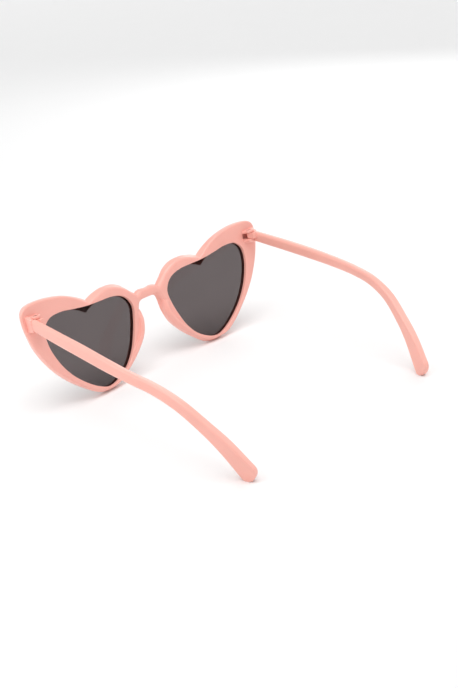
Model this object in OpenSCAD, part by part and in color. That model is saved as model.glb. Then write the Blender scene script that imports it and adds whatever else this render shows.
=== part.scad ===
// Heart shaped sunglasses, standing open on the two heart tips and the two temple tips.
// X runs across the face, with the wearer's left on plus X. Y runs from the front to the
// temple tips, Z runs up from the table, and the origin is the middle of the footprint.

/* [Front] */
// Width across the two hearts
front_w = 145; // [138:1:152]
// Height of a heart, from its tip to the top of its outer lobe
heart_h = 52.2; // [49:0.1:55]
// Narrowest gap between the hearts, where the nose goes
nose_gap = 12.8; // [11:0.1:15]
// Thickness of the front moulding
front_t = 3.9; // [3.7:0.1:4.4]
// Height of the bridge bar at its middle
bridge_h = 4.6; // [4:0.1:5.2]
// Depth of the small dip in the middle of the bridge's top
bridge_dip = 0.5; // [0.2:0.1:0.8]
// Angle that each heart turns back from the bridge
wrap_angle = 3.2; // [1:0.1:5]
// Angle that the front leans forward as the glasses stand
lean_angle = 11.6; // [10:0.1:13]

/* [Lenses] */
// Thickness of a lens
lens_t = 1.3; // [1.1:0.1:1.4]
// Depth of a lens under the rear face of the front
lens_recess = 1.85; // [1.65:0.05:1.95]
// Depth of the groove that holds the edge of a lens
groove_d = 0.6; // [0.4:0.1:0.8]
// Gap between a lens and its groove
lens_gap = 0.06; // [0.04:0.01:0.1]
// Width of the lip that shows in front of a lens
lip_w = 0.9; // [0.6:0.1:1.2]
// Width of the pointed cusp that the lip has under the cleft
cusp_w = 8.6; // [6:0.1:10]
// Depth of that cusp
cusp_d = 2.6; // [1.8:0.1:3]

/* [Nose pads] */
// Height of a nose pad's crest over the rear face
pad_h = 3.6; // [2.8:0.1:4.2]
// Distance of the crest from the edge of the heart
pad_inset = 1.35; // [1.2:0.05:1.6]
// Width of a nose pad's foot
pad_w = 3.7; // [3.4:0.1:4]

/* [Hinges] */
// Distance of a hinge pin in from the widest point of the front
pin_inset = 5.2; // [4.9:0.1:6.5]
// Distance of a hinge's top below the top of the heart
hinge_drop = 5.1; // [4.4:0.1:7]
// Distance of a hinge pin behind the rear face
pin_reach = 2.4; // [2.3:0.1:2.7]
// Radius of the ears and of the knuckle
ear_r = 2; // [1.85:0.05:2.1]
// Thickness of the upper ear
ear_top_t = 1.5; // [1.3:0.1:1.8]
// Thickness of the lower ear
ear_low_t = 1.6; // [1.3:0.1:1.9]
// Height of the temple's knuckle
knuckle_h = 3.05; // [2.6:0.05:3.4]
// Gap above and below the knuckle
knuckle_gap = 0.08; // [0.05:0.01:0.12]
// Gap round the ears inside the temple's end
relief_gap = 0.25; // [0.2:0.01:0.3]
// Height of the end block that the temple closes against
block_h = 3.6; // [3.4:0.1:3.9]
// Width of the end block
block_w = 1.75; // [1.5:0.05:1.85]
// Distance that the end block stands above the temple's end
block_rise = 1.5; // [0.8:0.1:1.8]
// Distance that the end block reaches below the temple's end
block_drop = 0.4; // [0.1:0.1:0.8]
// Rounding of the end block's corners
block_r = 0.6; // [0.3:0.1:0.8]
// Gap between the end block and the open temple
stop_gap = 0.03; // [0.02:0.01:0.06]

/* [Hinge screws] */
// Radius of a screw's shank
shank_r = 0.65; // [0.55:0.01:0.75]
// Running gap between the shank and the knuckle
shank_gap = 0.04; // [0.03:0.01:0.08]
// Gap between the screw and the ears
seat_gap = 0.02; // [0.01:0.01:0.04]
// Radius of a screw's head
head_r = 1.15; // [1.05:0.05:1.25]
// Thickness of a screw's head
head_t = 0.5; // [0.4:0.05:0.6]
// Depth of the head's top below the upper ear
head_sink = 0.3; // [0.2:0.05:0.4]
// Width of the screwdriver slot
slot_w = 0.35; // [0.25:0.05:0.45]
// Depth of the screwdriver slot
slot_d = 0.25; // [0.15:0.05:0.3]

/* [Temples] */
// Distance from a temple's front end back to the middle of its tip
temple_reach = 109.5; // [100:0.5:118]
// Height of a temple at its front end
temple_h = 5.1; // [4.7:0.1:5.4]
// Thickness of a temple
temple_t = 3.4; // [3.2:0.1:3.6]
// Rounding of the long edges of a temple
temple_r = 1.15; // [0.8:0.05:1.4]
// Height of a temple at the ear bend
bend_h = 4.4; // [4:0.1:5.2]
// Height of a temple at its rounded tip
tip_h = 7.6; // [6.4:0.1:8.4]
// Distance of a temple's outer face out from its hinge pin
temple_side = 4.1; // [4:0.05:4.3]
// Distance of the middle of a temple's end below the middle of the hinge
temple_drop = 0.65; // [0.4:0.05:0.8]
// Distance that a temple bows outward along its straight run
temple_bow = 1.9; // [0.6:0.1:2.4]
// Distance that the tip comes in from the front end
tip_inset = 12.2; // [8:0.1:16]

/* [Hidden] */

pink = [0.96, 0.68, 0.63];
smoke = [0.2, 0.19, 0.19];
steel = [0.55, 0.54, 0.54];

// Steps along the sampled curves, round an edge, and round a whole turn
line_steps = 4;
temple_steps = 4;
edge_steps = 4;
tip_steps = 6;
round_fn = 48;

// Overrun of the cuts, depth that a foot reaches into the front, and lap of the two halves
overrun = 0.5;
foot_d = 1.9;
middle_lap = 0.3;

// Heart outline, as shares of the heart's width from the nose side and of its height
bridge_top_share = 0.737;
lobe_shares = [[0.006, 0.722], [0.052, 0.772], [0.112, 0.834], [0.196, 0.876], [0.288, 0.884],
               [0.374, 0.862], [0.437, 0.830]];
wing_shares = [[0.437, 0.830], [0.515, 0.890], [0.620, 0.949], [0.750, 0.988], [0.872, 1.000],
               [0.955, 0.982], [0.996, 0.928], [0.998, 0.830], [0.978, 0.700], [0.943, 0.568],
               [0.888, 0.436], [0.812, 0.308], [0.718, 0.189], [0.616, 0.086], [0.522, 0.018],
               [0.428, 0.000]];
nose_shares = [[0.428, 0.000], [0.328, 0.026], [0.222, 0.110], [0.120, 0.217], [0.042, 0.336],
               [0.004, 0.456], [0.002, 0.540]];
// Rear opening of a heart, in the same shares, starting under the cleft
opening_shares = [[0.457, 0.791], [0.578, 0.811], [0.690, 0.833], [0.793, 0.820], [0.855, 0.744],
                  [0.860, 0.620], [0.833, 0.498], [0.785, 0.375], [0.716, 0.260], [0.624, 0.156],
                  [0.532, 0.083], [0.443, 0.045], [0.348, 0.072], [0.246, 0.148], [0.171, 0.260],
                  [0.120, 0.391], [0.085, 0.518], [0.072, 0.620], [0.100, 0.700], [0.154, 0.752],
                  [0.242, 0.781], [0.350, 0.786]];
// Underside of the bridge, as shares of half the nose gap and of the bridge's height
arch_shares = [[0.94, 0.92], [0.74, 0.33], [0.38, 0.05], [0, 0]];
// Top of the bridge, as shares of half the nose gap and of the dip
saddle_shares = [[0, 1], [0.28, 0.36], [0.56, 0], [0.84, 0.25]];
// Cross-section of a nose pad: shares of the crest's inset, of the rest of the foot, and of the height
pad_shares = [[0.09, 0, 0], [0.4, 0, 0.5], [0.72, 0, 0.9], [1, 0, 1], [1, 0.18, 0.93],
              [1, 0.36, 0.62], [1, 0.62, 0.24], [1, 1, 0]];
// Temple's centre line, as shares of its reach and of its drop to the tip
profile_shares = [[0, 0], [0.157, 0.044], [0.298, 0.086], [0.438, 0.136], [0.564, 0.188],
                  [0.672, 0.250], [0.771, 0.374], [0.859, 0.572], [0.927, 0.760], [1, 1]];
// Sideways run of the temple, as shares of its bow and of the tip's inset
plan_shares = [[0, 0], [0.5, 0], [0.8, 0], [1, 0], [0.8, 0.01], [0.45, 0.10], [0.2, 0.265],
               [0.05, 0.51], [0, 0.74], [0, 1]];
// Height of the temple, as shares of its front, bend and tip heights
height_shares = [[1, 0, 0], [1.06, 0, 0], [1.08, 0, 0], [1.03, 0, 0], [0.5, 0.47, 0], [0, 1, 0],
                 [0, 0.99, 0], [0, 0.9, 0.08], [0, 0.55, 0.42], [0, 0, 1]];

// Sizes that follow from the sizes above
heart_w = (front_w - nose_gap) / 2;
nose_half = nose_gap / 2;
bridge_top = bridge_top_share * heart_h;
bridge_low = bridge_top - bridge_h;
lens_back = -lens_recess;
lens_front = lens_back - lens_t;
groove_back = lens_back + lens_gap;
groove_front = lens_front - lens_gap;
groove_mid = (groove_back + groove_front) / 2;
pin_p = (front_w / 2 - pin_inset) / cos(wrap_angle) + pin_reach * tan(wrap_angle);
hinge_top = heart_h - hinge_drop;
hinge_low = hinge_top - ear_top_t - ear_low_t - knuckle_h - 2 * knuckle_gap;
knuckle_low = hinge_low + ear_low_t + knuckle_gap;
head_top = hinge_top - head_sink;
head_low = head_top - head_t;
temple_v = (hinge_top + hinge_low) / 2 - temple_drop;
temple_out = pin_p + temple_side;
tip_r = tip_h / 2;

// Smooth curve between b and c, with their neighbours a and d
function blend(a, b, c, d, t) =
    (2 * b + (c - a) * t + (2 * a - 5 * b + 4 * c - d) * t * t
     + (3 * b - a - 3 * c + d) * t * t * t) / 2;
// Smooth open curve without its last point, given the points before and after it
function smooth(pts, before, after, steps) =
    [for (i = [0 : len(pts) - 2], j = [0 : steps - 1])
        blend(i == 0 ? before : pts[i - 1], pts[i], pts[i + 1],
              i == len(pts) - 2 ? after : pts[i + 2], j / steps)];
// Smooth open curve whose ends run on straight
function open_curve(pts, steps) =
    smooth(pts, 2 * pts[0] - pts[1], 2 * pts[len(pts) - 1] - pts[len(pts) - 2], steps);
// Smooth closed curve
function closed_curve(pts, steps) =
    let (n = len(pts))
    [for (i = [0 : n - 1], j = [0 : steps - 1])
        blend(pts[(i + n - 1) % n], pts[i], pts[(i + 1) % n], pts[(i + 2) % n], j / steps)];
function mirrored(p) = [-p[0], p[1]];
function unit(v) = v / norm(v);

// Step into the material at b, square to the outline a, b, c that runs clockwise
function inward(a, b, c) =
    let (u = unit(b - a), v = unit(c - b), n = [u[1], -u[0]], m = unit(n + [v[1], -v[0]]))
    m / (m * n);
function inset(line, d) =
    let (n = len(line))
    [for (i = [0 : n - 1])
        line[i] + d * inward(line[(i + n - 1) % n], line[i], line[(i + 1) % n])];

// Outline of half the front, clockwise from the middle of the bridge's top
function on_heart(shares) = [for (s = shares) [nose_half + s[0] * heart_w, s[1] * heart_h]];
lobe_pts = on_heart(lobe_shares);
wing_pts = on_heart(wing_shares);
nose_pts = on_heart(nose_shares);
arch_pts = [for (s = arch_shares) [s[0] * nose_half, bridge_low - s[1] * bridge_h]];
saddle_pts = [for (s = saddle_shares) [s[0] * nose_half, bridge_top - s[1] * bridge_dip]];
tip_pt = nose_pts[0];
saddle_line = smooth(concat(saddle_pts, [lobe_pts[0]]), mirrored(saddle_pts[1]),
                     2 * lobe_pts[0] - saddle_pts[3], line_steps);
lobe_line = open_curve(lobe_pts, line_steps);
wing_line = smooth(wing_pts, 2 * wing_pts[0] - wing_pts[1], nose_pts[1], line_steps);
nose_line = smooth(concat(nose_pts, [arch_pts[0]]), wing_pts[len(wing_pts) - 2], arch_pts[1],
                   line_steps);
arch_line = smooth(arch_pts, nose_pts[len(nose_pts) - 1], mirrored(arch_pts[2]), line_steps);
half_line = concat(saddle_line, lobe_line, wing_line, nose_line, arch_line,
                   [arch_pts[len(arch_pts) - 1]]);

// Opening of a heart at the rear, and at the lip with its cusp
opening_line = closed_curve(on_heart(opening_shares), line_steps);
cusp_pt = opening_line[0];
function cusped(p) =
    p[1] < heart_h / 2 ? p
        : [p[0], p[1] - cusp_d * max(0, 1 - abs(p[0] - cusp_pt[0]) / (cusp_w / 2))];
lip_line = [for (p = inset(opening_line, lip_w)) cusped(p)];

// One half of the front on its own plane, with a flat lap over the middle of the bridge
function on_half(p) = [p[0] / cos(wrap_angle) - front_t / 2 * tan(wrap_angle), p[1]];
half_plate = concat([[-middle_lap, bridge_top - bridge_dip]], [for (p = half_line) on_half(p)],
                    [[-middle_lap, bridge_low]]);

// Nose pad: sections square to the nose side of the outline
pad_from = 2 * line_steps + 1;
pad_to = len(nose_line) - 2;
function pad_section(i) =
    let (t = (i - pad_from) / (pad_to - pad_from),
         h = (pad_h + overrun) * pow(sin(180 * t), 0.7) - overrun,
         p = on_half(nose_line[i]), d = inward(nose_line[i - 1], nose_line[i], nose_line[i + 1]))
    concat([[p[0] + d[0] * pad_w, -foot_d, p[1] + d[1] * pad_w]],
           [for (s = pad_shares)
               let (n = s[0] * pad_inset + s[1] * (pad_w - pad_inset), y = s[2] * h)
               [p[0] + d[0] * n, s == pad_shares[0] ? -foot_d : y, p[1] + d[1] * n]]);
pad_rings = [for (i = [pad_from : pad_to]) pad_section(i)];

// From a heart's own frame (along it, behind it, up it) to the leaning front
function leaned(p) =
    [p[0], p[1] * cos(lean_angle) - p[2] * sin(lean_angle),
     p[1] * sin(lean_angle) + p[2] * cos(lean_angle)];
function turned(p) =
    leaned([p[0] * cos(wrap_angle) - p[1] * sin(wrap_angle),
            p[0] * sin(wrap_angle) + p[1] * cos(wrap_angle), p[2]]);

// Height that brings the heart tips down to the table
front_lift = -min([for (p = half_plate, y = [0, -front_t]) turned([p[0], y, p[1]])[2]]);

// Temple: centre line, heights and sections, with the wearer's left one as the pattern
end_point = turned([temple_out - temple_t / 2, block_h + stop_gap, temple_v]) + [0, 0, front_lift];
end_normal = turned([0, 1, 0]) - turned([0, 0, 0]);
temple_fall = end_point[2] - tip_r;
temple_pts = [for (i = [0 : len(profile_shares) - 1])
    end_point + [plan_shares[i][0] * temple_bow - plan_shares[i][1] * tip_inset,
                 profile_shares[i][0] * temple_reach, -profile_shares[i][1] * temple_fall]];
temple_hs = [for (s = height_shares) s * [temple_h, bend_h, tip_h] / 2];
last_pt = temple_pts[len(temple_pts) - 1];
temple_line = concat(open_curve(temple_pts, temple_steps), [last_pt]);
temple_half = concat(open_curve(temple_hs, temple_steps), [tip_r]);
tip_dir = unit(last_pt - temple_line[len(temple_line) - 2]);
function along(line, i) = unit(line[min(i + 1, len(line) - 1)] - line[max(i - 1, 0)]);

// Rounded rectangle square to a direction: half thickness a, half height h, corner radius r
function section(c, dir, a, h, r) =
    let (s = unit(cross(dir, [0, -dir[2], dir[1]])), u = cross(s, dir))
    [for (q = [0 : 3], k = [0 : edge_steps - 1])
        let (w = 90 * (q + k / (edge_steps - 1)),
             x = (q == 0 || q == 3 ? 1 : -1) * (a - r), z = (q < 2 ? 1 : -1) * (h - r))
        c + s * (x + r * cos(w)) + u * (z + r * sin(w))];
// Front end of the temple, cut flat against the end block
function flattened(ring, dir) =
    [for (p = ring) p + dir * (((end_point - p) * end_normal) / (dir * end_normal))];
temple_body = [for (i = [0 : len(temple_line) - 1])
    section(temple_line[i], along(temple_line, i), temple_t / 2, temple_half[i], temple_r)];
temple_cap = [for (k = [1 : tip_steps]) let (a = 84 * k / tip_steps, h = tip_r * cos(a))
    section(last_pt + tip_dir * tip_r * sin(a), tip_dir, temple_t / 2 * (0.55 + 0.45 * cos(a)), h,
            min(temple_r, h * 0.9))];
temple_rings = concat([flattened(temple_body[0], along(temple_line, 0))],
                      [for (i = [1 : len(temple_body) - 1]) temple_body[i]], temple_cap);

// Middle of the footprint, from the front of the lobes to the back of the temple tips
fore_y = min([for (p = half_plate) turned([p[0], -front_t, p[1]])[1]]);
rear_y = max([for (r = temple_rings) for (p = r) p[1]]);
stance_y = -(fore_y + rear_y) / 2;

// Closed skin through rings that all have as many points
module skin(rings) {
    n = len(rings[0]);
    last = (len(rings) - 1) * n;
    sides = [for (r = [0 : len(rings) - 2], i = [0 : n - 1]) let (j = (i + 1) % n)
        each [[r * n + i, r * n + j, (r + 1) * n + j], [r * n + i, (r + 1) * n + j, (r + 1) * n + i]]];
    ends = [[for (i = [n - 1 : -1 : 0]) i], [for (i = [0 : n - 1]) last + i]];
    polyhedron(points = [for (r = rings) each r], faces = concat(sides, ends));
}

module standing() translate([0, stance_y, 0]) children();
module on_front() standing() translate([0, 0, front_lift]) rotate([lean_angle, 0, 0]) children();
module on_side() on_front() rotate([0, 0, wrap_angle]) children();
module both_sides() {
    children();
    mirror([1, 0, 0]) children();
}

// Flat plate of a heart line between two depths behind the rear face
module plate(line, back, front) {
    translate([0, back, 0]) rotate([90, 0, 0]) linear_extrude(height = back - front) polygon(line);
}

// Upright round bar on the hinge axis
module on_pin(low, high, r) {
    translate([pin_p, pin_reach, low]) cylinder(h = high - low, r = r, $fn = round_fn);
}

module ear(low, high) {
    on_pin(low, high, ear_r);
    translate([pin_p - ear_r, -foot_d, low]) cube([2 * ear_r, foot_d + pin_reach, high - low]);
}

module end_block() {
    low = temple_v - temple_h / 2 - block_drop;
    high = temple_v + temple_h / 2 + block_rise;
    translate([temple_out - block_w, block_h, low]) rotate([90, 0, 0])
        linear_extrude(height = block_h + foot_d) {
            translate([block_r, 0]) square([block_w - 2 * block_r, high - low]);
            translate([0, block_r]) square([block_w, high - low - 2 * block_r]);
            for (x = [block_r, block_w - block_r], y = [block_r, high - low - block_r])
                translate([x, y]) circle(r = block_r, $fn = round_fn);
        }
}

module lens_cut() {
    plate(opening_line, overrun, groove_mid);
    plate(inset(opening_line, -groove_d), groove_back, groove_front);
    plate(lip_line, groove_mid, -front_t - overrun);
}

module screw_cut() {
    on_pin(hinge_low - overrun, hinge_top + overrun, shank_r + seat_gap);
    on_pin(head_low - seat_gap, hinge_top + overrun, head_r + seat_gap);
}

module front_frame() {
    color(pink) difference() {
        both_sides() on_side() {
            plate(half_plate, 0, -front_t);
            skin(pad_rings);
            ear(hinge_low, hinge_low + ear_low_t);
            ear(hinge_top - ear_top_t, hinge_top);
            end_block();
        }
        both_sides() on_side() {
            lens_cut();
            screw_cut();
        }
    }
}

module lens() {
    on_side() plate(inset(opening_line, lens_gap - groove_d), lens_back, lens_front);
}
module lens_left() color(smoke) lens();
module lens_right() color(smoke) mirror([1, 0, 0]) lens();

module temple() {
    difference() {
        union() {
            difference() {
                standing() skin(temple_rings);
                on_side() {
                    on_pin(hinge_low - ear_r, knuckle_low, ear_r + relief_gap);
                    on_pin(knuckle_low + knuckle_h, hinge_top + ear_r, ear_r + relief_gap);
                }
            }
            on_side() {
                on_pin(knuckle_low, knuckle_low + knuckle_h, ear_r);
                translate([pin_p, pin_reach, knuckle_low])
                    cube([ear_r - relief_gap, ear_r + foot_d, knuckle_h]);
            }
        }
        on_side() on_pin(knuckle_low - overrun, knuckle_low + knuckle_h + overrun, shank_r + shank_gap);
    }
}
module temple_left() color(pink) temple();
module temple_right() color(pink) mirror([1, 0, 0]) temple();

module hinge_screw() {
    on_side() difference() {
        union() {
            on_pin(hinge_low + seat_gap, head_top, shank_r);
            on_pin(head_low, head_top, head_r);
        }
        translate([pin_p - slot_w / 2, pin_reach - head_r - overrun, head_top - slot_d])
            cube([slot_w, 2 * (head_r + overrun), slot_d + overrun]);
    }
}
module hinge_screw_left() color(steel) hinge_screw();
module hinge_screw_right() color(steel) mirror([1, 0, 0]) hinge_screw();

front_frame();
lens_left();
lens_right();
temple_left();
temple_right();
hinge_screw_left();
hinge_screw_right();
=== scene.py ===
import bmesh
import bpy
import numpy as np
from mathutils import Matrix


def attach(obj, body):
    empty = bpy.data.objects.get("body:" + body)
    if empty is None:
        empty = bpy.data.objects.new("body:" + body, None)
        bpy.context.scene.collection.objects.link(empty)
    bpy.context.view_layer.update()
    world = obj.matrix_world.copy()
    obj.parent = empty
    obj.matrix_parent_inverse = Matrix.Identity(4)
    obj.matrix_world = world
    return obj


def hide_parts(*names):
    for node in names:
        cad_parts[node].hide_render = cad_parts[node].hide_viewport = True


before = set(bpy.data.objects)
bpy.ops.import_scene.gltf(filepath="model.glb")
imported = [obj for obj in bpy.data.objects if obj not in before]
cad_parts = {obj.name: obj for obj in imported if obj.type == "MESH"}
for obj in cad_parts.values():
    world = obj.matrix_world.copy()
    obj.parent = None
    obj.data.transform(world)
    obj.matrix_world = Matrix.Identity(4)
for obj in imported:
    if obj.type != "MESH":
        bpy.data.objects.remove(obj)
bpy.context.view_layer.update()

print("frame loaded:", ", ".join(sorted(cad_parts)))

# Lengths in the dictionaries are millimetres and angles are degrees, but for the floor and the
# lamps, whose lengths are metres. Shapes are worked out in millimetres and become metres in their
# meshes.

# How the front stands: each heart turned back, both leaned forward, then moved so that the middle
# of the footprint is the origin and the heart tips touch the floor
stance = {"wrap": 3.2, "lean": 11.6, "shift": -50.0075, "lift": 0.394211}

wrapSin, wrapCos = np.sin(np.radians(stance["wrap"])), np.cos(np.radians(stance["wrap"]))
leanSin, leanCos = np.sin(np.radians(stance["lean"])), np.cos(np.radians(stance["lean"]))


# Leaning: across stays; behind and up turn about the x axis by the lean angle
def leaned(p):
    return np.stack([p[..., 0], p[..., 1] * leanCos - p[..., 2] * leanSin,
                     p[..., 1] * leanSin + p[..., 2] * leanCos], -1)


# From a heart's own frame: across and behind turn about the upright axis by the wrap angle,
# then the point leans
def turned(p):
    return leaned(np.stack([p[..., 0] * wrapCos - p[..., 1] * wrapSin,
                            p[..., 0] * wrapSin + p[..., 1] * wrapCos, p[..., 2]], -1))


# Standing: every point moves by the shift along y and by the lift along z
def standing(p):
    return p + np.array([0, stance["shift"], stance["lift"]])


# Smooth curve through points: between two of them runs the cubic whose slope at each is half the
# step from its neighbour before to its neighbour after
def smoothCurve(points, before, after, steps):
    p = np.vstack([before, points, after])
    t = (np.arange(steps) / steps)[None, :, None]
    a, b, c, d = (p[k:len(p) - 3 + k, None, :] for k in range(4))
    curve = (2 * b + (c - a) * t + (2 * a - 5 * b + 4 * c - d) * t ** 2
             + (3 * b - a - 3 * c + d) * t ** 3) / 2
    return curve.reshape(-1, p.shape[1])


# Open smooth curve without its last point: either end's missing neighbour is one more equal step
def openCurve(points, steps):
    return smoothCurve(points, 2 * points[0] - points[1], 2 * points[-1] - points[-2], steps)


# Open smooth curve and its last point
def wholeCurve(points, steps):
    return np.vstack([openCurve(points, steps), points[-1:]])


# Closed smooth curve: the neighbours at its ends are the points across the seam
def closedCurve(points, steps):
    return smoothCurve(np.vstack([points, points[:1]]), points[-1], points[1], steps)


# Each vector divided by its length
def unit(v):
    return v / np.linalg.norm(v, axis=-1, keepdims=True)


# Step into a clockwise line at each point: the mitre of the right-hand normals of the edges
# before and after it, as long as one over the cosine of half the angle between them
def inwardStep(line):
    before, after = unit(line - np.roll(line, 1, 0)), unit(np.roll(line, -1, 0) - line)
    first = np.stack([before[:, 1], -before[:, 0]], -1)
    mitre = unit(first + np.stack([after[:, 1], -after[:, 0]], -1))
    return mitre / np.sum(mitre * first, -1, keepdims=True)


# Line inside a clockwise line: each point moves by the depth times its inward step
def insetLine(line, depth):
    return line + depth * inwardStep(line)


# Quarter round of radius r in steps: inset and depth from a flat face (inset r, depth 0) round to
# the side wall (inset 0, depth r)
def quarterRound(r, steps):
    turn = np.linspace(0, np.pi / 2, steps)
    return r * (1 - np.sin(turn)), r * (1 - np.cos(turn))


# Mesh from a grid of points: row by row, each row a closed ring. Rows join to the next, and the
# last to the first if the grid closes; otherwise the end rings get a face each
def gridMesh(name, grid, closed=False):
    rows, count = grid.shape[:2]
    r = np.arange(rows if closed else rows - 1)[:, None] * count
    s = (r + count) % (rows * count)
    c, d = np.arange(count), (np.arange(count) + 1) % count
    faces = np.stack([r + c, r + d, s + d, s + c], -1).reshape(-1, 4).tolist()
    if not closed:
        faces += [list(range(count)), list(range((rows - 1) * count, rows * count))]
    mesh = bpy.data.meshes.new(name)
    mesh.from_pydata(grid.reshape(-1, 3), [], faces)
    work = bmesh.new()
    work.from_mesh(mesh)
    bmesh.ops.remove_doubles(work, verts=work.verts, dist=1e-5)
    bmesh.ops.recalc_face_normals(work, faces=work.faces)
    work.to_mesh(mesh)
    work.free()
    return mesh


# Several meshes in one: all their vertices and faces, none of them moved
def joined(name, meshes):
    work = bmesh.new()
    for mesh in meshes:
        work.from_mesh(mesh)
    out = bpy.data.meshes.new(name)
    work.to_mesh(out)
    work.free()
    return out


# Object for a mesh, a lamp or a camera, at the origin and unturned
def newObject(name, data):
    piece = bpy.data.objects.new(name, data)
    bpy.context.scene.collection.objects.link(piece)
    return piece


# Mesh after the modifiers of a piece, which is then taken away
def finished(piece):
    bpy.context.view_layer.update()
    shown = piece.evaluated_get(bpy.context.evaluated_depsgraph_get())
    mesh = bpy.data.meshes.new_from_object(shown)
    bpy.data.objects.remove(piece)
    return mesh


# Mesh less the inside of every cutter
def cutBy(mesh, cutters):
    body = newObject("body", mesh)
    tools = [newObject("cutter", cutter) for cutter in cutters]
    for tool in tools:
        cut = body.modifiers.new("cut", "BOOLEAN")
        cut.operation, cut.solver, cut.object = "DIFFERENCE", "EXACT", tool
    out = finished(body)
    for tool in tools:
        bpy.data.objects.remove(tool)
    return out


# Vertices of a mesh as rows of x, y and z
def readPoints(mesh):
    flat = np.empty(len(mesh.vertices) * 3, np.float32)
    mesh.vertices.foreach_get("co", flat)
    return flat.reshape(-1, 3).astype(float)


# Rows of x, y and z put back as the vertices of a mesh
def writePoints(mesh, points):
    mesh.vertices.foreach_set("co", points.astype(np.float32).ravel())
    mesh.update()


# Mirror in the middle plane: x changes its sign and every face is turned round
def mirroredMesh(mesh):
    out = mesh.copy()
    out.transform(Matrix.Diagonal((-1, 1, 1, 1)))
    out.flip_normals()
    return out


# Shades smooth, but for edges sharper than the angle
def smoothShaded(mesh, angle):
    mesh.polygons.foreach_set("use_smooth", np.ones(len(mesh.polygons), bool))
    mesh.set_sharp_from_angle(angle=np.radians(angle))
    return mesh


# The front moulding, with its rims, bridge and nose pads
front = {
    "width": 145, "heartHeight": 52.2, "noseGap": 12.8, "thickness": 3.9,
    "bridgeTop": 0.737,  # as a share of the heart's height
    "bridgeHeight": 4.6, "bridgeDip": 0.5,
    "bridgeBend": 3.0,  # half the width over which the bend at the middle is rounded off
    "rimRound": 0.4, "lipRound": 0.6,
    "wallLeast": 0.3,  # straight wall left between the front and the rear edge's round
    "wallDepth": 1.74, "grooveEnd": 3.26, "grooveDepth": 0.6,  # depths under the rear face
    "lipWidth": 0.2, "cuspWidth": 19, "cuspDepth": 3.3, "cuspTaper": 1.7,
    "settle": 0.2, "settleHeight": 12,  # how far the heart tips come down, and up to what height
    "cutterRise": 4, "cutterDrop": 1,  # how far the opening's cutter stands out at either face
    "lineSteps": 12, "edgeSteps": 9, "rimSteps": 5, "lipSteps": 4,
    "voxel": 0.17, "softening": 0.5, "smoothing": 6, "mostFaces": 190000, "sharpAngle": 60,
}
pads = {
    "height": 1.8, "inset": 1.9, "width": 3.5,
    "foot": 1.9, "sink": 1.0,  # depth of the foot, and of the crest at the pad's ends
    "rise": 1.2, "tuck": 1.3,
    "from": 1.2, "to": 6.95,  # in table points passed along the nose side
    "profileSteps": 5,
}

# The heart's outline in three runs, and its opening, clockwise, as shares of the heart's width
# from the nose side and of its height
lobeShares = np.array([[.006, .722], [.052, .772], [.112, .834], [.196, .876], [.288, .884],
                       [.374, .862], [.437, .830]])
wingShares = np.array([[.437, .830], [.515, .890], [.620, .949], [.750, .988], [.872, 1.000],
                       [.955, .982], [.996, .928], [.998, .830], [.978, .700], [.943, .568],
                       [.888, .436], [.812, .308], [.718, .189], [.616, .086], [.522, .018],
                       [.428, .000]])
noseShares = np.array([[.428, .000], [.328, .026], [.222, .110], [.120, .217], [.042, .336],
                       [.004, .456], [.002, .540]])
openingShares = np.array([[.457, .791], [.578, .811], [.690, .833], [.793, .820], [.855, .744],
                          [.860, .620], [.833, .498], [.785, .375], [.716, .260], [.624, .156],
                          [.532, .083], [.443, .045], [.348, .072], [.246, .148], [.171, .260],
                          [.120, .391], [.085, .518], [.072, .620], [.100, .700], [.154, .752],
                          [.242, .781], [.350, .786]])
# The bridge, as shares of half the nose gap and of its height (underside) or its dip (top)
archShares = np.array([[.99, .88], [.86, .3], [.46, .03], [0, 0]])
saddleShares = np.array([[0, 1], [.28, .36], [.56, 0], [.84, .25]])
# A nose pad's section: shares of the crest's inset, of the rest of the foot, and of the height
padShares = np.array([[.1, 0, 0], [.3, 0, .3], [.55, 0, .62], [.8, 0, .88], [1, 0, 1], [1, .3, .95],
                      [1, .6, .82], [1, .84, .66], [1, .92, .3], [1, 1, 0]])
# Along half the outline, by the number of table points passed: the radii of the rear and front
# edges, and how far the wall leans in at either
roundAt = np.array([0, 2, 3.3, 5, 6.5, 7.7, 9, 10.5, 12, 14, 15, 16, 17.3, 18.3, 19.3, 21.5, 23.3,
                    24.7, 26, 27.2, 28.5, 30, 31, 32, 33.2, 34.2, 35])
rearRound = np.array([1.5, 1.6, 2.2, 2.3, 1.9, 1.5, 1.3, 1.2, 1.1, 1.0, .8, .7, .7, .8, 1.0, 1.3,
                      1.5, 1.6, 1.6, 1.5, 1.5, 1.8, 2.2, 2.4, 2.2, 1.6, 1.3])
foreRound = np.array([1.0, .9, .8, .8, .7, .7, .7, .7, .7, .8, 1.1, 1.4, 1.4, 1.2, .8, .8, .9,
                      .9, .8, 1.0, 1.2, 1.1, .8, .8, .9, 1.0, 1.0])
rearLean = np.array([-.3, .1, .35, .5, .6, .3, 1.0, .6, 0, .1, -.1, -.9, -1.1, -.75, -.2, .2, 0,
                     .95, .65, .9, .05, .75, 1.05, .9, .2, -.3, -.2])
foreLean = np.array([0, .1, .45, .25, -.2, .05, -.1, -.3, 0, .25, .1, .45, .05, -.3, -.15, -.1,
                     .35, 0, -.2, .15, .25, .2, -.4, -.4, -.35, -.2, -.1])

heartWidth = (front["width"] - front["noseGap"]) / 2
noseHalf = front["noseGap"] / 2
bridgeTop = front["bridgeTop"] * front["heartHeight"]
bridgeLow = bridgeTop - front["bridgeHeight"]
flip = np.array([-1, 1])  # a point of the flat front mirrored in the middle


# Across is the nose gap's half plus the share of the width, up is the share of the height
def onHeart(shares):
    return shares * [heartWidth, front["heartHeight"]] + [noseHalf, 0]


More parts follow.
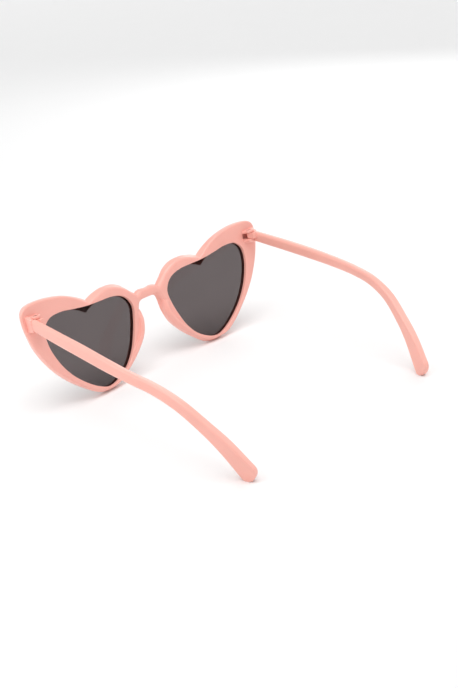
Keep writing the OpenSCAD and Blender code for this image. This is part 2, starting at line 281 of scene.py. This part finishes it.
# The front's outline, clockwise from the middle of the bridge's top: saddle, lobe, wing, nose
# side and arch as smooth curves, then the same points mirrored and in the opposite order
def frontLines():
    steps = front["lineSteps"]
    lobe, wing, nose = onHeart(lobeShares), onHeart(wingShares), onHeart(noseShares)
    arch = archShares * [noseHalf, -front["bridgeHeight"]] + [0, bridgeLow]
    saddle = saddleShares * [noseHalf, -front["bridgeDip"]] + [0, bridgeTop]
    top = np.vstack([saddle, lobe[:1]])
    noseLine = smoothCurve(np.vstack([nose, arch[:1]]), wing[-2], arch[1], steps)
    half = np.vstack([
        smoothCurve(top, saddle[1] * flip, 2 * lobe[0] - saddle[3], steps),
        openCurve(lobe, steps),
        smoothCurve(wing, 2 * wing[0] - wing[1], nose[1], steps),
        noseLine,
        smoothCurve(arch, nose[-1], arch[2] * flip, steps),
        arch[-1:]])
    return np.vstack([half, half[-2:0:-1] * flip]), noseLine


# Solid between rings: ring k is the line k, laid at depth k (behind the rear face is plus)
def stacked(name, lines, depths):
    grid = np.stack([np.stack([line[:, 0], np.broadcast_to(depth, len(line)), line[:, 1]], -1)
                     for line, depth in zip(lines, depths)])
    return gridMesh(name, grid)


# Table values all along the outline: straight lines between the table's points along one half,
# the same in the opposite order, then each value the mean of those about it, weighted by a bell
def alongOutline(passed, *tables):
    even = np.hanning(front["lineSteps"] + 2)[1:-1]
    out = []
    for table in tables:
        value = np.interp(passed, roundAt, table)
        value = np.concatenate([value, value[-2:0:-1]])
        wide = np.concatenate([value[-len(even):], value, value[:len(even)]])
        value = np.convolve(wide, even / even.sum(), "same")[len(even):-len(even)]
        out.append(value)
    return out


# Plate with rounded edges: the outline inset by the lean and a quarter round at the front, the
# wall, and another lean and quarter round at the rear. A radius too big for the thickness keeps
# its inset and loses depth
def plateMesh(outline):
    passed = np.arange(len(outline) // 2 + 1) / front["lineSteps"]
    fore, rear, foreIn, rearIn = alongOutline(passed, foreRound, rearRound, foreLean, rearLean)
    rearDepth = np.minimum(rear, front["thickness"] - fore - front["wallLeast"])
    inset, depth = quarterRound(1, front["edgeSteps"])
    step = inwardStep(outline)
    lines = ([outline + step * (foreIn + fore * i)[:, None] for i in inset]
             + [outline + step * (rearIn + rear * i)[:, None] for i in inset[::-1]])
    depths = ([fore * d - front["thickness"] for d in depth]
              + [-rearDepth * d for d in depth[::-1]])
    return stacked("plate", lines, depths)


# Cutter of a heart's opening, from the rear: quarter round of the rim, straight wall, groove for
# the lens, lip with its cusp, quarter round at the front. The cusp is a point that hangs under the
# cleft: its depth is a power of the share of the way from its side to its middle
def openingCutter():
    opening = closedCurve(onHeart(openingShares), front["lineSteps"])
    lip = insetLine(opening, front["lipWidth"])
    reach = 1 - np.abs(lip[:, 0] - opening[0, 0]) / (front["cuspWidth"] / 2)
    above = lip[:, 1] > front["heartHeight"] / 2
    lip[:, 1] -= front["cuspDepth"] * np.clip(reach, 0, 1) ** front["cuspTaper"] * above
    inset, depth = quarterRound(front["rimRound"], front["rimSteps"])
    lipInset, lipDepth = quarterRound(front["lipRound"], front["lipSteps"])
    groove = insetLine(opening, -front["grooveDepth"])
    lines = ([insetLine(opening, -front["rimRound"])]
             + [insetLine(opening, -d) for d in inset]
             + [opening, groove, groove, lip]
             + [insetLine(lip, -d) for d in lipInset[::-1]]
             + [insetLine(lip, -front["lipRound"])])
    depths = ([front["cutterRise"]] + list(-depth)
              + [-front["wallDepth"], -front["wallDepth"], -front["grooveEnd"], -front["grooveEnd"]]
              + list(lipDepth[::-1] - front["thickness"])
              + [-front["thickness"] - front["cutterDrop"]])
    return stacked("opening", lines, depths)


# Nose pad: at each point of the nose side a section square to the outline. It swells as a power
# of the sine of the way along: at no swell it lies under the surface, and its inner part is
# tucked towards the outer
def padMesh(noseLine):
    steps = front["lineSteps"]
    first, last = int(pads["from"] * steps), int(pads["to"] * steps)
    share = np.linspace(0, 1, last - first + 1)[:, None]
    swell = np.sin(np.pi * share) ** pads["rise"]
    height = (pads["height"] + pads["sink"]) * swell - pads["sink"]
    profile = wholeCurve(padShares, pads["profileSteps"])
    inset = profile[:, 0] * pads["inset"] + profile[:, 1] * (pads["width"] - pads["inset"])
    inset = np.concatenate([[pads["width"], inset[0]], inset])[None]
    inset = inset + pads["tuck"] * (1 - swell) * (1 - inset / pads["width"])
    foot = np.full((len(share), 2), -pads["foot"])
    behind = np.concatenate([foot, height * profile[None, :, 2]], 1)
    point = noseLine[first:last + 1, None]
    step = inwardStep(noseLine)[first:last + 1, None]
    across = point + step * inset[..., None]
    return gridMesh("pad", np.stack([across[..., 0], behind, across[..., 1]], -1))


# Cutter of the shallow pocket between the two ears of a hinge, a box in the flat front
def pocketCutter():
    inner, outer = pinAcross - hinge["pocketIn"], pinAcross + hinge["pocketOut"]
    low, high = knuckleLow + hinge["pocketEdge"], knuckleTop - hinge["pocketEdge"]
    line = np.array([[inner, low], [inner, high], [outer, high], [outer, low]])
    return stacked("pocket", [line, line], [-hinge["pocketDepth"], hinge["pocketRise"]])


# Bend and stand: the flat front turns back on each side by the wrap angle, with |x| rounded off
# near the bridge as the root of x squared plus a small length squared, then leans and stands.
# The heart tips settle by the little that their rounded edges would leave under them
def bentFront(p):
    x, behind, up = p.T
    soft = np.sqrt(x ** 2 + front["bridgeBend"] ** 2)
    share = np.clip(up / front["settleHeight"], 0, 1)
    up = up - front["settle"] * (1 - share * share * (3 - 2 * share))
    half = front["thickness"] / 2
    q = np.stack([x - (behind + half) * wrapSin * x / soft,
                  soft * wrapSin / wrapCos - half * wrapSin ** 2 / wrapCos + behind * wrapCos,
                  up], -1)
    return standing(leaned(q)) / 1000


# The front's skin: plate and pads less the openings, remade together as one skin of small even
# quads, softened towards the mean of their neighbours, thinned, then bent and stood up
def buildFront():
    outline, noseLine = frontLines()
    cutter, pad, pocket = openingCutter(), padMesh(noseLine), pocketCutter()
    plate = cutBy(plateMesh(outline), [cutter, mirroredMesh(cutter), pocket, mirroredMesh(pocket)])
    pad = cutBy(pad, [cutter])
    piece = newObject("frontShell", joined("frontShell", [plate, pad, mirroredMesh(pad)]))
    skin = piece.modifiers.new("skin", "REMESH")
    skin.mode, skin.voxel_size, skin.adaptivity = "VOXEL", front["voxel"], 0
    soften = piece.modifiers.new("soften", "SMOOTH")
    soften.factor, soften.iterations = front["softening"], front["smoothing"]
    piece = newObject("frontShell", finished(piece))
    thin = piece.modifiers.new("thin", "DECIMATE")
    thin.ratio = min(1.0, front["mostFaces"] / (2 * len(piece.data.polygons)))
    print("front skin:", len(piece.data.polygons), "quads, thinned by", round(thin.ratio, 3))
    mesh = finished(piece)
    mesh.name = "frontShell"
    writePoints(mesh, bentFront(readPoints(mesh)))
    smoothShaded(mesh, front["sharpAngle"])
    print("front moulding:", len(mesh.polygons), "faces")
    return newObject("frontShell", mesh)


# The hinges, and the temples that turn in them
hinge = {
    "pinInset": 5.2, "drop": 5.1, "pinReach": 2.4,
    "earRadius": 2.1, "topEar": 1.5, "lowEar": 1.9, "earFlare": 0.3,
    "knuckle": 2.75, "knuckleRadius": 1.35, "knuckleGap": 0.08,
    "bore": 0.67, "headBore": 1.3, "headDepth": 0.82, "knuckleBore": 0.69,
    "webHalf": 1.15, "webStart": 0.72, "webCorner": 0.2, "webEdge": 0.1, "relief": 0.12,
    "foot": 1.9,  # how far the ears and the end block reach into the front
    "edgeRound": 0.4, "chamfer": 0.1,
    "blockDepth": 3.6, "blockWidth": 2.0, "blockRise": 1.6, "blockDrop": 0.4,
    "blockRound": 0.6, "blockEdge": 0.18, "blockFall": 1.5, "stopGap": 0.03,
    "pocketIn": 2.9, "pocketOut": 1.6, "pocketDepth": 1.5, "pocketEdge": 0.15, "pocketRise": 1,
    "cornerShrink": 0.8, "roundSteps": 96, "edgeSteps": 5, "barSteps": 14, "cornerSteps": 7,
    "sharpAngle": 32,
}
temple = {
    "reach": 109.5, "height": 5.1, "thickness": 3.4, "edgeRound": 1.45, "tipRound": 0.8,
    "bendHeight": 4.5, "tipHeight": 8.0, "tilt": 9, "side": 4.1, "drop": 0.65, "bow": 1.9,
    "tipInset": 12.2,
    "tipDrop": 0.3,  # how far the tip's end drops, as a share of half its height
    "tipSquare": 0.6,  # power that squares the lower half of the tip, where 1 is round
    "endRound": 0.2, "reliefPast": 2,
    "lineSteps": 14, "cornerSteps": 9, "endSteps": 5, "tipSteps": 15,
}

pinAcross = ((front["width"] / 2 - hinge["pinInset"]) / wrapCos
             + hinge["pinReach"] * wrapSin / wrapCos)
hingeTop = front["heartHeight"] - hinge["drop"]
hingeLow = hingeTop - hinge["topEar"] - hinge["lowEar"] - hinge["knuckle"] - 2 * hinge["knuckleGap"]
knuckleLow = hingeLow + hinge["lowEar"] + hinge["knuckleGap"]
knuckleTop = knuckleLow + hinge["knuckle"]
templeUp = (hingeTop + hingeLow) / 2 - temple["drop"]
templeOut = pinAcross + temple["side"]


# Loop round the pin, at equal angles: a plain circle, or one whose front half runs on in straight
# sides to a straight end inside the front, each point on the nearer of side and end, and widens
# towards the front with the square of the way
def pinLoop(radius, straight):
    angle = np.linspace(0, 2 * np.pi, hinge["roundSteps"], endpoint=False)
    away = np.full(len(angle), float(radius))
    if straight:
        sideways = radius / np.maximum(np.abs(np.cos(angle)), 1e-6)
        forward = (hinge["foot"] + hinge["pinReach"]) / np.maximum(-np.sin(angle), 1e-6)
        away = np.where(np.sin(angle) < 0, np.minimum(sideways, forward), away)
    x, y = np.cos(angle) * away, np.sin(angle) * away
    if straight:
        x = x * (1 + hinge["earFlare"] * (np.minimum(y, 0) / hinge["pinReach"]) ** 2)
    return np.stack([x, y], -1)


# Loop laid round the pin at a height, in the heart's own frame
def atPin(loop, up):
    return np.stack([pinAcross + loop[:, 0], hinge["pinReach"] + loop[:, 1],
                     np.full(len(loop), up)], -1)


# Mesh from a heart's own frame put where the heart stands, in metres
def stood(mesh):
    writePoints(mesh, standing(turned(readPoints(mesh))) / 1000)
    return mesh


# Ring with a bore, as a closed grid: up the outside with both edges rounded, in over the top,
# down the bore (wide for the screw's head first) and out over the underside
def boredRing(name, low, high, r, straight, bore, headBore=None, headDepth=0.0):
    inset, depth = quarterRound(hinge["edgeRound"], hinge["edgeSteps"])
    outside = ([(r - i, low + d) for i, d in zip(inset, depth)]
               + [(r - i, high - d) for i, d in zip(inset[::-1], depth[::-1])])
    top = headBore or bore
    chamfer = hinge["chamfer"]
    inside = [(top + chamfer, high), (top, high - chamfer)]
    if headBore:
        inside += [(headBore, high - headDepth), (bore, high - headDepth)]
    inside += [(bore, low + chamfer), (bore + chamfer, low)]
    rows = [atPin(pinLoop(radius, straight and k < len(outside)), up)
            for k, (radius, up) in enumerate(outside + inside)]
    return stood(gridMesh(name, np.stack(rows), closed=True))


# Rounded rectangle, anticlockwise: a quarter circle about each corner's centre, which is the
# corner moved in by the radius both ways
def roundedRectangle(halfWide, halfHigh, radius, steps):
    quarter = np.repeat(np.arange(4), steps)
    angle = np.radians(90 * (quarter + np.tile(np.linspace(0, 1, steps), 4)))
    x = np.where((quarter == 0) | (quarter == 3), 1, -1) * (halfWide - radius)
    y = np.where(quarter < 2, 1, -1) * (halfHigh - radius)
    return np.stack([x + radius * np.cos(angle), y + radius * np.sin(angle)], -1)


# Bar with a rounded rectangle for its section, from one depth to another behind the rear face,
# whose rear edges have a small quarter round. Its top falls by a share of one less the cosine of
# the way back
def barMesh(name, low, high, inner, outer, fore, rear, corner, edge, fall=0.0):
    inset, depth = quarterRound(edge, hinge["edgeSteps"])
    rows = [(0.0, d) for d in np.linspace(fore, rear - edge, hinge["barSteps"])[:-1]]
    rows += [(i, rear - d) for i, d in zip(inset[::-1], depth[::-1])]
    grid = []
    for i, behind in rows:
        top = high - fall * (1 - np.cos(np.pi / 2 * np.clip(behind / rear, 0, 1)))
        ring = roundedRectangle((outer - inner) / 2 - i, (top - low) / 2 - i,
                                corner - i * hinge["cornerShrink"], hinge["cornerSteps"])
        grid.append(np.stack([ring[:, 0] + (inner + outer) / 2, np.full(len(ring), behind),
                              ring[:, 1] + (low + top) / 2], -1))
    return stood(gridMesh(name, np.stack(grid)))


# The front's half of the left hinge: an ear above and one below the knuckle, both round the pin,
# and the end block that the open temple stops against
def buildHinge():
    r = hinge["earRadius"]
    lowEar = boredRing("lowEar", hingeLow, hingeLow + hinge["lowEar"], r, True, hinge["bore"])
    topEar = boredRing("topEar", hingeTop - hinge["topEar"], hingeTop, r, True, hinge["bore"],
                       hinge["headBore"], hinge["headDepth"])
    block = barMesh("endBlock", templeUp - temple["height"] / 2 - hinge["blockDrop"],
                    templeUp + temple["height"] / 2 + hinge["blockRise"],
                    templeOut - hinge["blockWidth"], templeOut, -hinge["foot"],
                    hinge["blockDepth"], hinge["blockRound"], hinge["blockEdge"],
                    hinge["blockFall"])
    return smoothShaded(joined("hinge", [lowEar, topEar, block]), hinge["sharpAngle"])


# Along the temple: its centre line as shares of the reach and of the drop to the tip, its sideways
# run as shares of the bow and of the tip's inset, its height as shares of the front, bend and tip
# heights, then its thickness, its tilt and how far its edges are the tip's sharper ones
profileShares = np.array([[0, 0], [.157, .044], [.298, .086], [.438, .136], [.564, .188],
                          [.672, .250], [.771, .374], [.859, .572], [.927, .760], [.993, 1]])
planShares = np.array([[0, 0], [.5, 0], [.8, 0], [1, 0], [.84, .01], [.55, .10], [.32, .265],
                       [.18, .51], [.12, .74], [.05, 1]])
heightShares = np.array([[1, 0, 0], [1.06, 0, 0], [1.08, 0, 0], [1.03, 0, 0], [.5, .47, 0],
                         [0, 1, 0], [0, 1, .01], [0, .88, .13], [0, .48, .52], [0, 0, 1]])
thinShares = np.array([1, 1, 1, 1, 1, 1, 1.04, 1.06, 1.02, .84])[:, None]
tiltShares = np.array([0, .25, .6, .85, 1, 1, 1, 1, 1, 1])[:, None]
sharpShares = np.array([0, 0, 0, 0, .4, .8, 1, 1, 1, 1])[:, None]


# Centre line of the left temple and its axes at each point: ahead is the step between the two
# neighbours, aside is square to it and level, above is square to both, and the last two turn about
# the first by the tilt
def templeLine():
    endPoint = turned(np.array([templeOut - temple["thickness"] / 2,
                                hinge["blockDepth"] + hinge["stopGap"], templeUp]))
    endPoint = endPoint + [0, 0, stance["lift"]]
    fall = endPoint[2] - temple["tipHeight"] / 2
    points = endPoint + np.stack([
        planShares[:, 0] * temple["bow"] - planShares[:, 1] * temple["tipInset"],
        profileShares[:, 0] * temple["reach"], -profileShares[:, 1] * fall], -1)
    centre = wholeCurve(points, temple["lineSteps"])
    ahead = unit(np.vstack([centre[1:], centre[-1:]]) - np.vstack([centre[:1], centre[:-1]]))
    side = unit(np.cross(ahead, np.stack([0 * ahead[:, 0], -ahead[:, 2], ahead[:, 1]], -1)))
    above = np.cross(side, ahead)
    tilt = np.radians(temple["tilt"]) * wholeCurve(tiltShares, temple["lineSteps"])
    return (centre, ahead, side * np.cos(tilt) + above * np.sin(tilt),
            above * np.cos(tilt) - side * np.sin(tilt))


# The left temple's rings: butt, body and tip. Each ring of the body is a rounded rectangle square
# to the line, between the round and the sharp one. The butt's are slid along the line on to the
# plane of the end block and inset by a quarter round. The tip's turn a quarter about their own
# thickness axis, so that they close in a half round, whose end drops and whose lower half is
# squarer. Nothing goes under the floor
def templeGrid():
    centre, ahead, side, above = templeLine()
    half, tipRadius = temple["thickness"] / 2, temple["tipHeight"] / 2
    corner, steps = temple["edgeRound"], temple["cornerSteps"]
    halves = heightShares @ [[temple["height"] / 2], [temple["bendHeight"] / 2], [tipRadius]]
    high = wholeCurve(halves, temple["lineSteps"])[:, 0]
    thin = wholeCurve(thinShares, temple["lineSteps"])
    sharp = wholeCurve(sharpShares, temple["lineSteps"])[..., None]
    flat = roundedRectangle(half, tipRadius, temple["tipRound"], steps)
    section = roundedRectangle(half, tipRadius, corner, steps) * (1 - sharp) + flat * sharp
    heightOf = np.sign(section[..., 1]) * (np.abs(section[..., 1]) - tipRadius + high[:, None])
    body = (centre[:, None] + side[:, None] * section[..., :1] * thin[:, None]
            + above[:, None] * heightOf[..., None])
    inset, depth = quarterRound(temple["endRound"], temple["endSteps"])
    endNormal = turned(np.array([0.0, 1.0, 0.0]))
    butt = []
    for i, d in zip(inset, depth):
        ring = roundedRectangle(half - i, high[0] - i, corner - i, steps)
        ring = centre[0] + side[0] * ring[:, :1] + above[0] * ring[:, 1:]
        back = ((centre[0] + endNormal * d - ring) @ endNormal) / (ahead[0] @ endNormal)
        butt.append(ring + ahead[0] * back[:, None])
    turn = np.linspace(0, np.pi / 2, temple["tipSteps"])[1:, None, None]
    power = np.where(flat[None, :, 1:] < 0, temple["tipSquare"], 1)
    cap = (centre[-1] + side[-1] * flat[None, :, :1] * thin[-1]
           + above[-1] * (flat[None, :, 1:] * np.cos(turn) ** power
                          - temple["tipDrop"] * tipRadius * (1 - np.cos(turn)))
           + ahead[-1] * np.abs(flat[None, :, 1:]) * np.sin(turn) ** power)
    grid = np.concatenate([np.stack(butt), body[1:], cap])
    grid[..., 2] = np.maximum(grid[..., 2], 0)
    return standing(grid - [0, 0, stance["lift"]])


# The left temple: its body less a round relief above and one below the knuckle, the knuckle's
# ring, and the web that joins the two
def buildTemple():
    body = gridMesh("temple", templeGrid() / 1000)
    loop = pinLoop(hinge["earRadius"] + hinge["relief"], False)
    cutters = []
    for low, high in ((hingeLow - temple["reliefPast"], knuckleLow),
                      (knuckleTop, hingeTop + temple["reliefPast"])):
        grid = np.stack([atPin(loop, low), atPin(loop, high)])
        cutters.append(gridMesh("relief", standing(turned(grid)) / 1000))
    body = cutBy(body, cutters)
    knuckle = boredRing("knuckle", knuckleLow, knuckleTop, hinge["knuckleRadius"], False,
                        hinge["knuckleBore"])
    web = barMesh("web", knuckleLow, knuckleTop, pinAcross - hinge["webHalf"],
                  pinAcross + hinge["webHalf"], hinge["pinReach"] + hinge["webStart"],
                  hinge["pinReach"] + hinge["earRadius"] + hinge["foot"], hinge["webCorner"],
                  hinge["webEdge"])
    mesh = smoothShaded(joined("temple", [body, knuckle, web]), hinge["sharpAngle"])
    print("temple:", len(mesh.polygons), "faces")
    return mesh


# The finishes
pinkFinish = {
    "rear": (0.95, 0.455, 0.385), "temple": (0.955, 0.465, 0.39),
    "drift": 0.02, "driftSize": 14.0, "roughness": (0.285, 0.335), "grainSize": 0.9,
    "grainDepth": 0.003, "grainStrength": 0.5, "bleed": 0.06, "bleedReach": 1.2,
    "bleedColours": (1.0, 0.45, 0.32), "index": 1.49, "coat": 0.2, "coatRoughness": 0.2,
}
lensFinish = {
    "tint": (0.365, 0.337, 0.338), "drift": 0.03, "driftSize": 18, "mirror": 1.2,
    "roughness": 0.06,
}
# The steel's base colour is darkened well below bare steel: painted shade for the hole over the
# screw's head
steelFinishWithPaintedShade = {
    "base": (0.1, 0.09, 0.085), "roughness": (0.26, 0.42), "brushSize": 0.12, "brushLength": 8,
    "brushDepth": 0.01, "brushStrength": 0.3,
}


# Empty material with nodes
def newMaterial(name):
    material = bpy.data.materials.new(name)
    material.use_nodes = True
    material.node_tree.nodes.clear()
    return material


# Adds a node: its inputs are set from values by name, and its links come from (node, output)
def addNode(material, kind, links=None, values=None, **settings):
    node = material.node_tree.nodes.new(kind)
    for key, value in settings.items():
        setattr(node, key, value)
    for key, value in (values or {}).items():
        node.inputs[key].default_value = value
    for key, (source, output) in (links or {}).items():
        material.node_tree.links.new(source.outputs[output], node.inputs[key])
    return node


# Noise on object coordinates, whose cells are about so many millimetres
def addNoise(material, where, size, detail=2.0):
    return addNode(material, "ShaderNodeTexNoise", {"Vector": (where, "Object")},
                   {"Scale": 1000 / size, "Detail": detail})


# Colour that drifts with a noise between two of its values: from the base times one less a share
# to the base times one plus it
def addDrift(material, noise, base, share, ends=(0.0, 1.0)):
    ramp = addNode(material, "ShaderNodeValToRGB", {"Fac": (noise, "Fac")})
    for stop, change, end in zip(ramp.color_ramp.elements, (1 - share, 1 + share), ends):
        stop.color = (*[min(c * change, 1) for c in base], 1)
        stop.position = end
    return ramp


# Roughness that goes from the lower to the upper as a noise goes over the middle of its range
def addGloss(material, noise, roughness):
    return addNode(material, "ShaderNodeMapRange", {"Value": (noise, "Fac")},
                   {"From Min": 0.3, "From Max": 0.7, "To Min": roughness[0],
                    "To Max": roughness[1]})


# Satin moulded plastic: broad slow drift of the colour, a little uneven gloss, and the fine
# ripple of a moulded skin
def pinkPlastic(name, base):
    f = pinkFinish
    material = newMaterial(name)
    where = addNode(material, "ShaderNodeTexCoord")
    shade = addDrift(material, addNoise(material, where, f["driftSize"]), base, f["drift"],
                     (0.3, 0.7))
    rough = addGloss(material, addNoise(material, where, f["driftSize"] / 3, 4), f["roughness"])
    grain = addNoise(material, where, f["grainSize"], 3)
    bump = addNode(material, "ShaderNodeBump", {"Height": (grain, "Fac")},
                   {"Strength": f["grainStrength"], "Distance": f["grainDepth"] / 1000})
    skin = addNode(material, "ShaderNodeBsdfPrincipled",
                   {"Base Color": (shade, "Color"), "Roughness": (rough, "Result"),
                    "Normal": (bump, "Normal")},
                   {"IOR": f["index"], "Coat Weight": f["coat"],
                    "Coat Roughness": f["coatRoughness"], "Subsurface Weight": f["bleed"],
                    "Subsurface Radius": f["bleedColours"],
                    "Subsurface Scale": f["bleedReach"] / 1000})
    addNode(material, "ShaderNodeOutputMaterial", {"Surface": (skin, "BSDF")})
    return material


# Smoke tinted lens: light goes straight through each face and loses the tint, which drifts very
# slightly, but for the Fresnel share that is reflected. A face seen from inside the lens gets one
# over the index, so that the share is the same from either side
def smokeLens(name):
    f = lensFinish
    material = newMaterial(name)
    where = addNode(material, "ShaderNodeTexCoord")
    shade = addDrift(material, addNoise(material, where, f["driftSize"]), f["tint"], f["drift"])
    through = addNode(material, "ShaderNodeBsdfTransparent", {"Color": (shade, "Color")})
    gloss = addNode(material, "ShaderNodeBsdfGlossy", None,
                    {"Color": (1, 1, 1, 1), "Roughness": f["roughness"]})
    facing = addNode(material, "ShaderNodeNewGeometry")
    index = addNode(material, "ShaderNodeMapRange", {"Value": (facing, "Backfacing")},
                    {"To Min": f["mirror"], "To Max": 1 / f["mirror"]})
    share = addNode(material, "ShaderNodeFresnel", {"IOR": (index, "Result")})
    surface = addNode(material, "ShaderNodeMixShader", {0: (share, "Fac"), 1: (through, "BSDF"),
                                                        2: (gloss, "BSDF")})
    addNode(material, "ShaderNodeOutputMaterial", {"Surface": (surface, "Shader")})
    return material


# Turned steel: brushed rings about the pin would be finer than a pixel, so the brushing is a
# stretched noise that changes roughness and height. Its base colour is far darker than bare
# steel: painted shade, so that the screw's hole reads as a deep dark slot
def screwSteelWithPaintedShade(name):
    f = steelFinishWithPaintedShade
    material = newMaterial(name)
    where = addNode(material, "ShaderNodeTexCoord")
    stretch = addNode(material, "ShaderNodeMapping", {"Vector": (where, "Object")},
                      {"Scale": (1, f["brushLength"], 1)})
    brush = addNode(material, "ShaderNodeTexNoise", {"Vector": (stretch, "Vector")},
                    {"Scale": 1000 / (f["brushSize"] * f["brushLength"]), "Detail": 4})
    rough = addGloss(material, brush, f["roughness"])
    bump = addNode(material, "ShaderNodeBump", {"Height": (brush, "Fac")},
                   {"Strength": f["brushStrength"], "Distance": f["brushDepth"] / 1000})
    metal = addNode(material, "ShaderNodeBsdfPrincipled",
                    {"Roughness": (rough, "Result"), "Normal": (bump, "Normal")},
                    {"Base Color": (*f["base"], 1), "Metallic": 1.0})
    addNode(material, "ShaderNodeOutputMaterial", {"Surface": (metal, "BSDF")})
    return material


framePink = pinkPlastic("framePink", pinkFinish["rear"])
templePink = pinkPlastic("templePink", pinkFinish["temple"])
smoke = smokeLens("smokeLens")
steel = screwSteelWithPaintedShade("screwSteelWithPaintedShade")
print("finishes made")

shell = buildFront()
shell.data.materials.append(framePink)
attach(shell, "front")
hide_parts("front_frame")

leftHinge = buildHinge()
leftTemple = buildTemple()
for side, hingeMesh, templeMesh in (("left", leftHinge, leftTemple),
                                    ("right", mirroredMesh(leftHinge), mirroredMesh(leftTemple))):
    ears = newObject("hinge" + side.capitalize(), hingeMesh)
    ears.data.materials.append(framePink)
    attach(ears, "front")
    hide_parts("front_frame")
    arm = newObject("temple" + side.capitalize(), templeMesh)
    arm.data.materials.append(templePink)
    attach(arm, "temple_" + side)
    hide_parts("temple_" + side)
    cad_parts["lens_" + side].material_slots[0].material = smoke
    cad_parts["hinge_screw_" + side].material_slots[0].material = steel
print("hinges and temples made")


# The table, the lights and the camera
studio = {
    "table": (0.90, 0.90, 0.90), "mottle": 0.005, "mottleSize": 60, "tableRoughness": 0.8,
    "tableGloss": 0.1, "floorRings": (0.4, 1.2), "floorFlat": 2.0, "floorEnd": 3.2,
    "floorRise": 1.4, "floorSides": 96, "sweepSteps": 16, "dome": 0.43, "aim": 0.025,
    "key": {"strength": 1.5, "spread": 50, "azimuth": 150, "elevation": 78},
    "side": {"power": 0.25, "size": 0.24, "away": 0.32, "azimuth": 75, "elevation": 42},
    "back": {"power": 1.3, "size": 0.5, "away": 0.8, "azimuth": 295, "elevation": 30},
    "fill": {"power": 0.22, "size": 0.25, "away": 0.5, "azimuth": 235, "elevation": 35},
}
view = {
    "azimuth": 135.844, "elevation": 23.279, "roll": -5.192, "focal": 1095.46, "sensor": 36,
    "longSide": 688, "place": (314.155, 317.7175, 214.925), "clip": (0.01, 20),  # clip in metres
}


# White floor with faint mottling: flat in the middle, then it sweeps up all round as a quarter
# ellipse turned about the upright axis
def buildTable():
    turn = np.linspace(0, 2 * np.pi, studio["floorSides"], endpoint=False)
    sweep = np.linspace(0, np.pi / 2, studio["sweepSteps"])
    reach = studio["floorEnd"] - studio["floorFlat"]
    away = np.concatenate([studio["floorRings"], studio["floorFlat"] + reach * np.sin(sweep)])
    up = np.concatenate([[0, 0], studio["floorRise"] * (1 - np.cos(sweep))])
    grid = np.stack([away[:, None] * np.cos(turn), away[:, None] * np.sin(turn),
                     np.broadcast_to(up[:, None], (len(up), len(turn)))], -1)
    r = np.arange(len(away) - 1)[:, None] * len(turn)
    c, d = np.arange(len(turn)), (np.arange(len(turn)) + 1) % len(turn)
    faces = np.stack([r + c, r + len(turn) + c, r + len(turn) + d, r + d], -1).reshape(-1, 4)
    mesh = bpy.data.meshes.new("table")
    mesh.from_pydata(grid.reshape(-1, 3), [], faces.tolist() + [c.tolist()])
    smoothShaded(mesh, 30)
    material = newMaterial("tableWhite")
    where = addNode(material, "ShaderNodeTexCoord")
    shade = addDrift(material, addNoise(material, where, studio["mottleSize"]), studio["table"],
                     studio["mottle"])
    top = addNode(material, "ShaderNodeBsdfPrincipled", {"Base Color": (shade, "Color")},
                  {"Roughness": studio["tableRoughness"],
                   "Specular IOR Level": studio["tableGloss"]})
    addNode(material, "ShaderNodeOutputMaterial", {"Surface": (top, "BSDF")})
    mesh.materials.append(material)
    table = newObject("table", mesh)


# Direction to an azimuth and elevation, azimuth 0 at minus Y and 90 at plus X: the azimuth's sine
# across and less its cosine behind, both times the elevation's cosine, and its sine up
def towards(azimuth, elevation):
    a, e = np.radians(azimuth), np.radians(elevation)
    return np.array([np.sin(a) * np.cos(e), -np.cos(a) * np.cos(e), np.sin(e)])


# Rotation whose third axis points back. The first is level and square to it, the second square to
# both, and they turn about it by the roll
def looking(back, roll):
    right = unit(np.cross(-back, [0, 0, 1]))
    up = np.cross(right, -back)
    c, s = np.cos(np.radians(roll)), np.sin(np.radians(roll))
    return np.stack([c * right + s * up, c * up - s * right, back], -1)


# Puts a lamp or the camera at a place, with the rotation's columns for its axes
def placed(item, rotation, place):
    matrix = np.eye(4)
    matrix[:3, :3], matrix[:3, 3] = rotation, place
    item.matrix_world = Matrix(matrix.tolist())


# Sun from an azimuth and elevation, whose disc is as wide as the spread
def addSun(name, strength, spread, azimuth, elevation):
    lamp = bpy.data.lights.new(name, "SUN")
    lamp.energy, lamp.angle = strength, np.radians(spread)
    item = newObject(name, lamp)
    back = towards(azimuth, elevation)
    placed(item, looking(back, 0), back)


# Square lamp that faces the middle of the glasses from so far away
def addSoftbox(name, power, size, away, azimuth, elevation):
    lamp = bpy.data.lights.new(name, "AREA")
    lamp.energy, lamp.shape, lamp.size = power, "SQUARE", size
    item = newObject(name, lamp)
    item.visible_camera = False
    back = towards(azimuth, elevation)
    placed(item, looking(back, 0), back * away + np.array([0, 0, studio["aim"]]))


# Table, an even white sky, one broad sun and three square lamps
def buildStudio():
    buildTable()
    world = bpy.data.worlds.new("studio")
    world.use_nodes = True
    world.node_tree.nodes["Background"].inputs["Color"].default_value = (1, 1, 1, 1)
    world.node_tree.nodes["Background"].inputs["Strength"].default_value = studio["dome"]
    bpy.context.scene.world = world
    addSun("key", **studio["key"])
    for name in ("side", "back", "fill"):
        addSoftbox(name, **studio[name])
    bpy.context.scene.view_settings.view_transform = "Standard"


# Camera with the photograph's view: its focal length is the one in pixels times the sensor's
# width over the pixels of the picture's longer side
def buildCamera():
    lens = bpy.data.cameras.new("camera")
    lens.sensor_width = view["sensor"]
    lens.lens = view["focal"] * lens.sensor_width / view["longSide"]
    lens.clip_start, lens.clip_end = view["clip"]
    camera = newObject("camera", lens)
    placed(camera, looking(towards(view["azimuth"], view["elevation"]), view["roll"]),
           np.array(view["place"]) / 1000)
    bpy.context.scene.camera = camera


buildStudio()
buildCamera()
print("studio ready")
